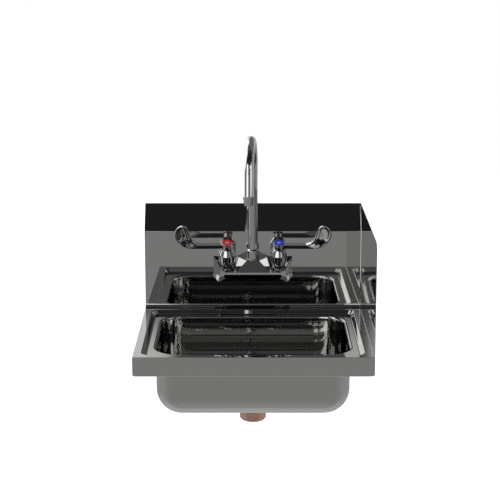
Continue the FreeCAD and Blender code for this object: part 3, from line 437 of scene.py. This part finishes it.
# Weld line: radius, points round it, inset from the deck's end, start behind the front, run up the top
SEAM_RADIUS = 0.7
SEAM_AROUND = 8
SEAM_INSET = 0.3
SEAM_START = 1.0
SEAM_RUN = 30.0


def make_backsplash():
    """The sheet from the rim's rear up to its leaning top and down the flange behind."""
    face = FACE / MM
    outline = rounded_line([(REAR / MM, 0), (face, 0, COVE), (face, KINK, KINK_BEND), (0, TOP, TOP_BEND),
                            (0, TOP - FLANGE)], steps=10)
    columns = [HALF * share for share in (-1, -0.5, 0, 0.5, 1)]
    points = [Vector((x, y * MM, RIM + z * MM)) for y, z in outline for x in columns]
    faces = strips(len(outline), len(columns), closed=False)
    sheet = build("splash_sheet", points, faces, STEEL, sharp=60, weighted=False)
    face_towards(sheet.data, sheet.data.polygons, Vector((0, -1, 0)))
    thicken(sheet)
    stands_for(sheet, "stainless", "backsplash")


def make_seam():
    """The weld line where the rim and the backsplash meet the side splash."""
    face = FACE / MM
    start, lean = FRONT / MM + SEAM_START, (TOP - KINK) / -face
    route = rounded_line([(start, 0), (face, 0, COVE), (face, KINK),
                          (face + SEAM_RUN, KINK + SEAM_RUN * lean)], steps=8)
    points = [Vector((HALF / MM - SEAM_INSET + side, y, RIM / MM + z)) * MM
              for side, y, z in sweep(route, SEAM_RADIUS, SEAM_AROUND)]
    seam = build("side_seam", points, capped_strips(len(route), SEAM_AROUND), STEEL, sharp=60)


# Taps: a corner of a turned piece is its radius, its height and, where it is rounded, the bend's radius

TILT = math.radians(23.5)
VALVE_X = 50.8 * MM
BLADE_OUT = 50.0
BLADE_HEIGHT = 136.08
# Bonnet, in the valve's frame: levels, radius where it is widest, curve of its side, hole and wall
BONNET_BASE = -48.9
BONNET_TOP = -5.5
BONNET_RADIUS = 16.7
BONNET_WIDEST = -28.0
BONNET_CURVE = 50.8
BONNET_CURVE_START = -24.3
BONNET_HOLE = 5.65
BONNET_WALL = 1.6


def valve_frame(side):
    """A valve's tilted frame, whose zero is where its axis meets the middle of its blade."""
    origin = Vector((side * VALVE_X, FACE - BLADE_OUT * MM, RIM + BLADE_HEIGHT * MM))
    return Matrix.Translation(origin) @ Matrix.Rotation(TILT, 4, "X")


def make_bonnet(side, word):
    """The bell over the cartridge: a bulging side, a sloping shoulder and a hole for the stem."""
    base, top, hole, radius, widest = BONNET_BASE, BONNET_TOP, BONNET_HOLE, BONNET_RADIUS, BONNET_WIDEST
    bulge = arc((radius - BONNET_CURVE, widest), BONNET_CURVE, BONNET_CURVE_START, 0, steps=10)
    shoulder = rounded_line([
        (radius, widest), (radius, -17.2, 2.0), (14.3, -12.3, 40.0), (11.2, -7.1, 1.0), (9.4, top, 0.7),
        (hole, top),
    ], steps=8)[1:]
    under = top - BONNET_WALL
    inside = [(hole, under), (8.8, under), (14.6, -19.0), (14.6, -30.0), (10.6, base), (9.0, base)]
    profile = [(9.0, base), (12.0, base)] + bulge + shoulder + inside
    piece = lathe(word + "_bell", profile, valve_frame(side))
    stands_for(piece, "chrome", word + "_bonnet")


CURVE_STEPS = 24


def curve_points(knots, count):
    """Points on a smooth cubic line through the knots, evenly stepped along it."""
    ends = [knots[0] * 2 - knots[1]] + list(knots) + [knots[-1] * 2 - knots[-2]]
    dense = []
    for index in range(1, len(ends) - 2):
        a, b, c, d = ends[index - 1:index + 3]
        for step in range(CURVE_STEPS):
            t = step / CURVE_STEPS
            cubic = (3 * b - a - 3 * c + d) * t ** 3
            dense.append(0.5 * (2 * b + (c - a) * t + (2 * a - 5 * b + 4 * c - d) * t * t + cubic))
    dense.append(Vector(knots[-1]))
    lengths = [0.0]
    for before, after in zip(dense, dense[1:]):
        lengths.append(lengths[-1] + (after - before).length)
    points = []
    spot = 0
    for index in range(count):
        goal = lengths[-1] * index / (count - 1)
        while spot < len(dense) - 2 and lengths[spot + 1] < goal:
            spot += 1
        span = lengths[spot + 1] - lengths[spot]
        points.append(dense[spot].lerp(dense[spot + 1], (goal - lengths[spot]) / span if span else 0))
    return points


def smooth(low, high, value):
    """Eases from 0 to 1 as value goes from low to high."""
    share = min(1.0, max(0.0, (value - low) / (high - low)))
    return share * share * (3 - 2 * share)


def squared(value, power):
    """A sine or cosine pushed outwards, which makes a circle squarer: power 1 leaves it round."""
    return math.copysign(abs(value) ** power, value)


# The wrist blade's lower and upper edges in its own plane: along the bar, and up
BLADE_LOWER = [(7, -4.3), (30, -4.4), (52, -4.5), (66, -4.6), (76, -4.0), (86, -0.4), (95, 7.0),
               (101, 17.0), (102.6, 27.0), (100.2, 37.0), (94.0, 44.6), (86.5, 47.6)]
BLADE_UPPER = [(7, 4.6), (30, 4.5), (46, 4.4), (55, 5.0), (62.5, 9.0), (68.2, 15.4), (71.6, 23.0),
               (73.4, 30.0), (75.0, 37.0), (78.0, 43.0), (82.0, 46.6), (86.5, 47.6)]
BLADE_ROWS = 72
BLADE_AROUND = 36
BAR_THICK = 8.6
PADDLE_THICK = 4.4
# Where the edges meet: the least width, and the most thickness as a share of the width
LEAST_WIDTH = 0.02
MOST_THICK = 1.05
# Where along its length, in shares, the blade thins, grows hollow and loses its square section
THINS = (0.42, 0.72)
HOLLOWS = (0.55, 0.75)
ROUNDS = (0.42, 0.7)
# The hollow's depth in front, the width from which it is full, and its share behind
HOLLOW_DEPTH = 1.1
HOLLOW_WIDTH = 20
HOLLOW_BEHIND = 0.4
# The power that squares the bar's section, and what the paddle adds to it
BAR_POWER = 0.22
PADDLE_ADDS = 0.2


def make_blade(side, word):
    """The wrist blade, lofted between its lower and upper edges."""
    low_line = curve_points([Vector(point) for point in BLADE_LOWER], BLADE_ROWS)
    high_line = curve_points([Vector(point) for point in BLADE_UPPER], BLADE_ROWS)
    place = valve_frame(side)
    points = []
    for index, (low, high) in enumerate(zip(low_line, high_line)):
        share = index / (BLADE_ROWS - 1)
        width = max((high - low).length, LEAST_WIDTH)
        up = (high - low) / width if width > LEAST_WIDTH else Vector((0, 1))
        thick = min(BAR_THICK - (BAR_THICK - PADDLE_THICK) * smooth(*THINS, share), width * MOST_THICK)
        dish = HOLLOW_DEPTH * smooth(*HOLLOWS, share) * min(1.0, width / HOLLOW_WIDTH)
        power = BAR_POWER + PADDLE_ADDS * smooth(*ROUNDS, share)
        for step in range(BLADE_AROUND):
            angle = 2 * math.pi * (step + 0.5) / BLADE_AROUND
            across = squared(math.cos(angle), power) * width / 2
            depth = squared(math.sin(angle), power) * thick / 2
            hollow = 1 - (across / (width / 2)) ** 2
            depth += dish * hollow * (1 if depth < 0 else HOLLOW_BEHIND)
            spot = (low + high) / 2 + up * across
            points.append(place @ (Vector((side * spot.x, depth, spot.y)) * MM))
    faces = capped_strips(BLADE_ROWS, BLADE_AROUND)
    blade = build(word + "_wrist_blade", points, faces, CHROME, word + "_lever", sharp=80, weighted=False)
    stands_for(blade, "chrome", word + "_handle")


def make_hub(side, word):
    """The handle's hub with the flange that carries the colour ring."""
    hub = rounded_line([
        (4.1, -4.9), (8.8, -4.9, 0.6), (8.8, 2.6, 2.0), (10.6, 5.6, 0.9), (10.6, 8.0, 0.5), (10.1, 8.0),
        (10.1, 7.2), (2.1, 7.2),
    ], steps=6)
    bore = [(2.1, 0), (4.1, 0), (4.1, -4.9)]
    piece = lathe(word + "_hub", hub + bore, valve_frame(side), word + "_lever")
    stands_for(piece, "chrome", word + "_handle")


FLAT_ANGLE = math.radians(1.5)
FACET_ANGLE = math.radians(14)
EDGE_BREAK = 0.7 * MM


def make_casting():
    """The tap body with its facets' edges broken, as a polished casting has them."""
    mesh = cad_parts["tap_body"].data.copy()
    mesh.name = "tap_casting"
    work = bmesh.new()
    work.from_mesh(mesh)
    bmesh.ops.remove_doubles(work, verts=work.verts, dist=SAME_PLACE)
    bmesh.ops.dissolve_limit(work, angle_limit=FLAT_ANGLE, verts=work.verts, edges=work.edges)
    work.to_mesh(mesh)
    work.free()
    piece = bpy.data.objects.new("tap_casting", mesh)
    bpy.context.scene.collection.objects.link(piece)
    mesh.shade_smooth()
    broken = piece.modifiers.new("broken_edges", "BEVEL")
    broken.width = EDGE_BREAK
    broken.segments = 2
    broken.limit_method = "ANGLE"
    broken.angle_limit = FACET_ANGLE
    broken.harden_normals = False
    keep_flats_flat(piece)
    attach(piece, "basin")
    stands_for(piece, "chrome", "tap_body")


# Spout: the arch ends where the leg's lean begins

SWING = math.radians(3.9)
LEAN = math.radians(2.0)
SPOUT_OUT = 30.0
SPOUT_BASE = 104.5
SPOUT_TOP = 358.9
SPOUT_RADIUS = 9.5
SPOUT_ROOM = SPOUT_RADIUS + 0.05
SPOUT_BEND = 63.5
SPOUT_SOCKET = 14.0
BASE_RING = 1.3
AERATOR_FOOT = 237.2
AERATOR_SEAT = 14.5
ARCH_CENTRE = SPOUT_TOP - SPOUT_RADIUS - SPOUT_BEND
ARCH_END = ARCH_CENTRE + SPOUT_BEND * math.sin(LEAN)
ARCH_REACH = SPOUT_BEND * (1 + math.cos(LEAN))
LEG_REACH = ARCH_REACH + (ARCH_END - AERATOR_FOOT) * math.tan(LEAN)
TUBE_AROUND = 64
# The tube's rings between its ends and its arch: above its base, below the arch, and a share of the leg
ABOVE_BASE = 60
BELOW_ARCH = 40
LEG_SHARE = 0.4


def riser_frame(height):
    """A frame on the riser's upright axis."""
    return Matrix.Translation((0, FACE - SPOUT_OUT * MM, RIM + height * MM))


def make_tube():
    """The gooseneck: up the riser, over the arch and down to the aerator."""
    line = [(0, SPOUT_BASE - SPOUT_SOCKET), (0, SPOUT_BASE + ABOVE_BASE), (0, ARCH_CENTRE - BELOW_ARCH)]
    line += arc((SPOUT_BEND, ARCH_CENTRE), SPOUT_BEND, 180, math.degrees(LEAN), steps=48)
    line = [Vector(point) for point in line]
    tip = Vector((LEG_REACH - AERATOR_SEAT * math.sin(LEAN), AERATOR_FOOT + AERATOR_SEAT * math.cos(LEAN)))
    line += [line[-1].lerp(tip, LEG_SHARE), tip]
    place = riser_frame(0) @ Matrix.Rotation(-SWING, 4, "Z")
    points = [place @ (Vector((side, -out, height)) * MM)
              for side, out, height in sweep(line, SPOUT_RADIUS, TUBE_AROUND)]
    faces = capped_strips(len(line), TUBE_AROUND)
    tube = build("gooseneck_tube", points, faces, CHROME, "spout", sharp=50)
    stands_for(tube, "chrome", "gooseneck")


def make_collar():
    """The cup-shaped nut that holds the spout."""
    room = SPOUT_ROOM
    cup = rounded_line([
        (room, 0), (12.2, 0, 0.4), (13.0, 1.4, 0.6), (13.0, 17.4, 1.4), (10.8, 20.7, 0.7), (room, 20.7),
    ], steps=6)
    piece = lathe("spout_collar_nut", cup + [(room, 0)], riser_frame(SPOUT_BASE + BASE_RING))
    stands_for(piece, "chrome", "spout_nut")


def make_aerator():
    """The cone at the leg's end, hollow inside."""
    room = SPOUT_ROOM
    shell = rounded_line([
        (6.4, 0), (8.1, 0, 0.5), (10.6, 17.1, 0.8), (10.3, 17.8, 0.3), (room, 17.8),
    ], steps=5)
    inner = [(room, 13.0), (7.3, 13.0), (7.3, 1.0), (6.4, 1.0), (6.4, 0)]
    swung = riser_frame(AERATOR_FOOT) @ Matrix.Rotation(-SWING, 4, "Z")
    place = swung @ Matrix.Translation((0, -LEG_REACH * MM, 0)) @ Matrix.Rotation(-LEAN, 4, "X")
    piece = lathe("aerator_cone", shell + inner, place, "spout")
    stands_for(piece, "chrome", "aerator_shell")


make_pan()
make_backsplash()
make_seam()
for side, word in ((-1, "hot"), (1, "cold")):
    make_bonnet(side, word)
    make_hub(side, word)
    make_blade(side, word)
make_casting()
make_tube()
make_collar()
make_aerator()


# Camera: a long lens, a little above the basin

CAMERA_SIDE = -5.69 * MM
CAMERA_AHEAD = 2474.9 * MM
CAMERA_ABOVE = 747.9 * MM
CAMERA_DIP = 12.58
# The sensor and the lens in millimetres, and how far the camera sees in metres
SENSOR = 36
LENS = 104.4
FARTHEST = 50

camera = bpy.data.objects.new("camera", bpy.data.cameras.new("camera"))
bpy.context.scene.collection.objects.link(camera)
camera.data.sensor_width = SENSOR
camera.data.lens = LENS
camera.data.clip_end = FARTHEST
camera.location = (CAMERA_SIDE, FRONT - CAMERA_AHEAD, RIM + CAMERA_ABOVE)
camera.rotation_euler = (math.radians(90 - CAMERA_DIP), 0, 0)
bpy.context.scene.camera = camera


# Studio: a direction is its turn from the camera's side, positive to the right, and its height, in degrees

class Graph:
    """Short names for the nodes that work out the world's brightness from a direction."""

    def __init__(self, tree):
        self.tree = tree

    def math(self, kind, a, b=0.0):
        made = self.tree.nodes.new("ShaderNodeMath")
        made.operation = kind
        for socket, value in zip(made.inputs, (a, b)):
            if isinstance(value, (int, float)):
                socket.default_value = value
            else:
                self.tree.links.new(value, socket)
        return made.outputs[0]

    def ramp(self, value, low, high, start=0.0, end=1.0):
        """Eases from start to end as value goes from low to high."""
        made = self.tree.nodes.new("ShaderNodeMapRange")
        made.interpolation_type = "SMOOTHSTEP"
        self.tree.links.new(value, made.inputs["Value"])
        for socket, number in (("From Min", low), ("From Max", high), ("To Min", start), ("To Max", end)):
            made.inputs[socket].default_value = number
        return made.outputs["Result"]

    def steps(self, value, places):
        """Eases through a list of (place, level)."""
        level = places[0][1]
        for (low, _), (high, end) in zip(places, places[1:]):
            level = self.mix(self.ramp(value, low, high), level, end)
        return level

    def window(self, value, low, high, soft):
        """One between low and high, with soft edges."""
        rising = self.ramp(value, low - soft, low + soft)
        return self.math("MULTIPLY", rising, self.ramp(value, high - soft, high + soft, 1.0, 0.0))

    def mix(self, share, a, b):
        """a where share is 0, b where it is 1."""
        kept = self.math("MULTIPLY", self.math("SUBTRACT", 1.0, share), a)
        return self.math("ADD", kept, self.math("MULTIPLY", share, b))


# Brightness by height, as (height, level): on the camera's side, and behind the basin
NEAR_LEVELS = [(-80, 0.43), (-40, 0.342), (-11, 0.342), (-6, 0.24), (10, 0.22), (28, 0.085), (40, 0.045),
               (52, 0.022), (70, 0.03), (80, 0.09), (90, 0.3)]
BEHIND_LEVELS = [(-60, 0.6), (-32, 0.5), (-15, 0.42), (-8, 0.6), (10, 0.5), (24, 0.2), (50, 0.2),
                 (70, 0.25), (82, 0.05)]
# Turns between which the camera's side gives way to what is behind
TO_BEHIND = (88, 104)
# Low light on both sides: it grows with the turn and with the depth below the horizon, up to its level
LOW_SIDE_TURN = (45, 110)
LOW_SIDE_HEIGHT = (-8, -14)
LOW_SIDE_LEVEL = 0.45
# Bright patches, each over those before: turn from and to, height from and to, softness each way, level
PATCHES = [
    (-196, -166, 6, 30, 4, 4, 0.82),        # low light behind, on the left
    (-44, -3.4, -8.2, 8, 2, 0.8, 1.8),      # left panel, its low wide part
    (-44, -9.5, 7, 38, 1, 1, 1.8),          # left panel, its tall part
    (-9.5, -3.9, 15.7, 27, 0.6, 1.1, 1.4),  # narrow strip at the right of the tall part
    (-166, -96, -11, 60, 8, 3, 1.9),        # left wall
    (47.5, 77.6, -7.8, 26, 3, 0.8, 1.7),    # right panel
    (-43, -35, 22, 30, 1, 1, 2.7),          # small light for the tap body's facets, left
    (35, 43, 22, 30, 1, 1, 2.7),            # small light for the tap body's facets, right
    (-112, -70, 14, 62, 6, 4, 1.8),         # upper part of the left wall
]


def make_world():
    """Light whose brightness depends only on its direction. The camera itself sees pure white."""
    world = bpy.data.worlds.new("studio")
    bpy.context.scene.world = world
    world.use_nodes = True
    tree = world.node_tree
    tree.nodes.clear()
    graph = Graph(tree)
    place = tree.nodes.new("ShaderNodeTexCoord")
    split = tree.nodes.new("ShaderNodeSeparateXYZ")
    tree.links.new(place.outputs["Generated"], split.inputs[0])
    x, y, z = split.outputs
    degrees = 180 / math.pi
    height = graph.math("MULTIPLY", graph.math("ARCSINE", z), degrees)
    turn = graph.math("MULTIPLY", graph.math("ARCTAN2", x, graph.math("MULTIPLY", y, -1.0)), degrees)
    away = graph.math("ABSOLUTE", turn)
    near = graph.steps(height, NEAR_LEVELS)
    low_side = graph.math("MULTIPLY", graph.ramp(away, *LOW_SIDE_TURN), graph.ramp(height, *LOW_SIDE_HEIGHT))
    near = graph.mix(low_side, near, LOW_SIDE_LEVEL)
    value = graph.mix(graph.ramp(away, *TO_BEHIND), near, graph.steps(height, BEHIND_LEVELS))
    for low, high, foot, top, soft, soft_height, level in PATCHES:
        across = graph.window(turn, low, high, soft)
        upright = graph.window(height, foot, top, soft_height)
        value = graph.mix(graph.math("MULTIPLY", across, upright), value, level)
    path = tree.nodes.new("ShaderNodeLightPath")
    value = graph.mix(path.outputs["Is Camera Ray"], value, 1.0)
    background = tree.nodes.new("ShaderNodeBackground")
    background.inputs["Color"].default_value = (1, 1, 1, 1)
    output = tree.nodes.new("ShaderNodeOutputWorld")
    tree.links.new(value, background.inputs["Strength"])
    tree.links.new(background.outputs[0], output.inputs["Surface"])


FLOOR_BELOW = 750 * MM
FLOOR_REACH = 6.0
FLOOR_COLOR = (0.8, 0.8, 0.8)
FLOOR_ROUGH = 0.9
FLOOR_GLOW = 0.85


def make_floor():
    """A pale floor well below the basin. The camera sees it as white apart from the basin's soft shadow."""
    mesh = bpy.data.meshes.new("floor")
    level, reach = RIM - FLOOR_BELOW, FLOOR_REACH
    corners = [(-reach, -reach, level), (reach, -reach, level), (reach, reach, level), (-reach, reach, level)]
    mesh.from_pydata(corners, [], [(0, 1, 2, 3)])
    floor = bpy.data.objects.new("floor", mesh)
    bpy.context.scene.collection.objects.link(floor)
    material, tree, principled = shader("pale_floor", FLOOR_COLOR, 0.0)
    principled.inputs["Roughness"].default_value = FLOOR_ROUGH
    glow = tree.nodes.new("ShaderNodeEmission")
    path = tree.nodes.new("ShaderNodeLightPath")
    both = tree.nodes.new("ShaderNodeAddShader")
    lift = tree.nodes.new("ShaderNodeMath")
    lift.operation = "MULTIPLY"
    lift.inputs[1].default_value = FLOOR_GLOW
    tree.links.new(path.outputs["Is Camera Ray"], lift.inputs[0])
    tree.links.new(lift.outputs[0], glow.inputs["Strength"])
    tree.links.new(principled.outputs[0], both.inputs[0])
    tree.links.new(glow.outputs[0], both.inputs[1])
    tree.links.new(both.outputs[0], tree.nodes["Material Output"].inputs["Surface"])
    mesh.materials.append(material)
    floor.visible_glossy = False


def make_lamp(name, place, target, size, power):
    """A soft lamp for the matt pieces. Bright metal doesn't mirror it."""
    lamp = bpy.data.lights.new(name, "AREA")
    lamp.size = size
    lamp.energy = power
    holder = bpy.data.objects.new(name, lamp)
    bpy.context.scene.collection.objects.link(holder)
    holder.location = place
    holder.rotation_euler = (Vector(target) - Vector(place)).to_track_quat("-Z", "Y").to_euler()
    holder.visible_glossy = False
    holder.visible_camera = False


make_world()
make_floor()
make_lamp("key", place=(-1.2, -2.4, 1.8), target=(0, -0.2, 0), size=1.5, power=40)

bpy.context.scene.view_settings.view_transform = "Standard"
